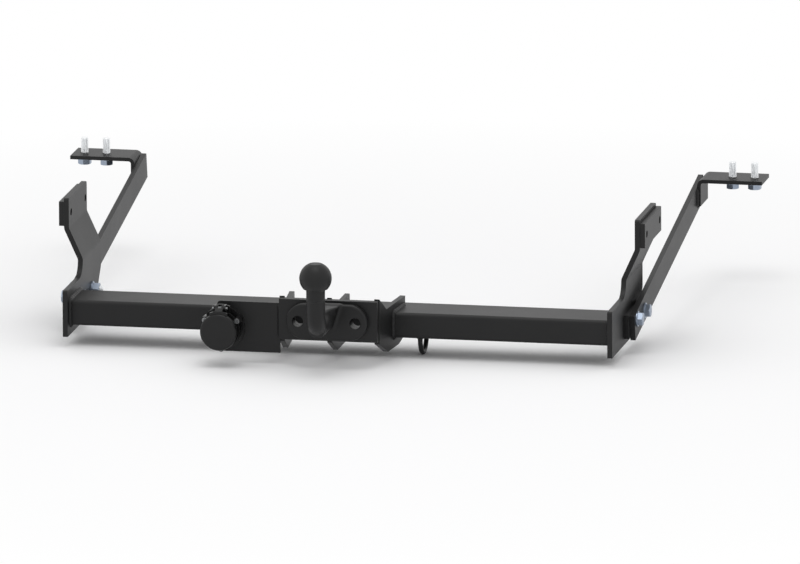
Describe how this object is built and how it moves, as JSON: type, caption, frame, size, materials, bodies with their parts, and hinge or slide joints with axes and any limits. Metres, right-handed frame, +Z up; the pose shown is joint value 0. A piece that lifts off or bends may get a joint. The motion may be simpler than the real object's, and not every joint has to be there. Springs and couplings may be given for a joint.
{
  "type": "tow bar",
  "caption": "Bolt-on car tow bar: cross beam with flange ball, trailer socket with sprung lid, breakaway eyelet, joggled end plates and struts with bolt-up brackets.",
  "frame": {"origin": "centre of the coupling ball", "axes": "+X across the car to its right-hand end plate as seen from behind, +Y forwards under the car, +Z up"},
  "size_m": [1.102, 0.8448, 0.2107],
  "materials": {
    "coated_steel": "satin black powder coat",
    "zinc_steel": "bright blue-white zinc plating",
    "black_plastic": "moulded black, satin",
    "black_rubber": "matt black",
    "contact_brass": "bare"
  },
  "bodies": {
    "bar": {"cross_beam": "coated_steel", "end_plate_left": "coated_steel", "end_plate_right": "coated_steel", "backing_plate_left": "coated_steel", "backing_plate_right": "coated_steel", "spacer_left": "coated_steel", "spacer_right": "coated_steel", "strut_left": "coated_steel", "strut_right": "coated_steel", "top_bracket_left": "coated_steel", "top_bracket_right": "coated_steel", "gusset_left": "coated_steel", "gusset_middle": "coated_steel", "gusset_right": "coated_steel", "front_plate": "coated_steel", "ball_flange": "coated_steel", "socket_plate": "coated_steel", "eyelet": "coated_steel", "beam_welds": "coated_steel", "gusset_welds": "coated_steel", "bracket_welds": "coated_steel", "eyelet_welds": "coated_steel", "strut_bolts": "zinc_steel", "strut_washers": "zinc_steel", "strut_nuts": "zinc_steel", "chassis_bolts": "zinc_steel", "chassis_washers": "zinc_steel", "chassis_spring_washers": "zinc_steel", "socket_screws": "zinc_steel", "socket_nuts": "zinc_steel", "lid_hinge_pin": "zinc_steel", "lid_spring": "zinc_steel", "socket_housing": "black_plastic", "contact_insert": "black_plastic", "socket_gasket": "black_rubber", "cable_gland": "black_rubber", "contact_pins": "contact_brass"},
    "lid": {"socket_lid": "black_plastic", "lid_seal": "black_rubber"}
  },
  "joints": [
    {"name": "lid_hinge", "type": "hinge", "parent": "bar", "child": "lid", "pos_m": [-0.1655, 0.0715, -0.0695], "axis": [-1, 0, 0], "range_deg": [0, 105], "stiffness_Nm_per_rad": 0.02, "springref_deg": -34.38}
  ]
}
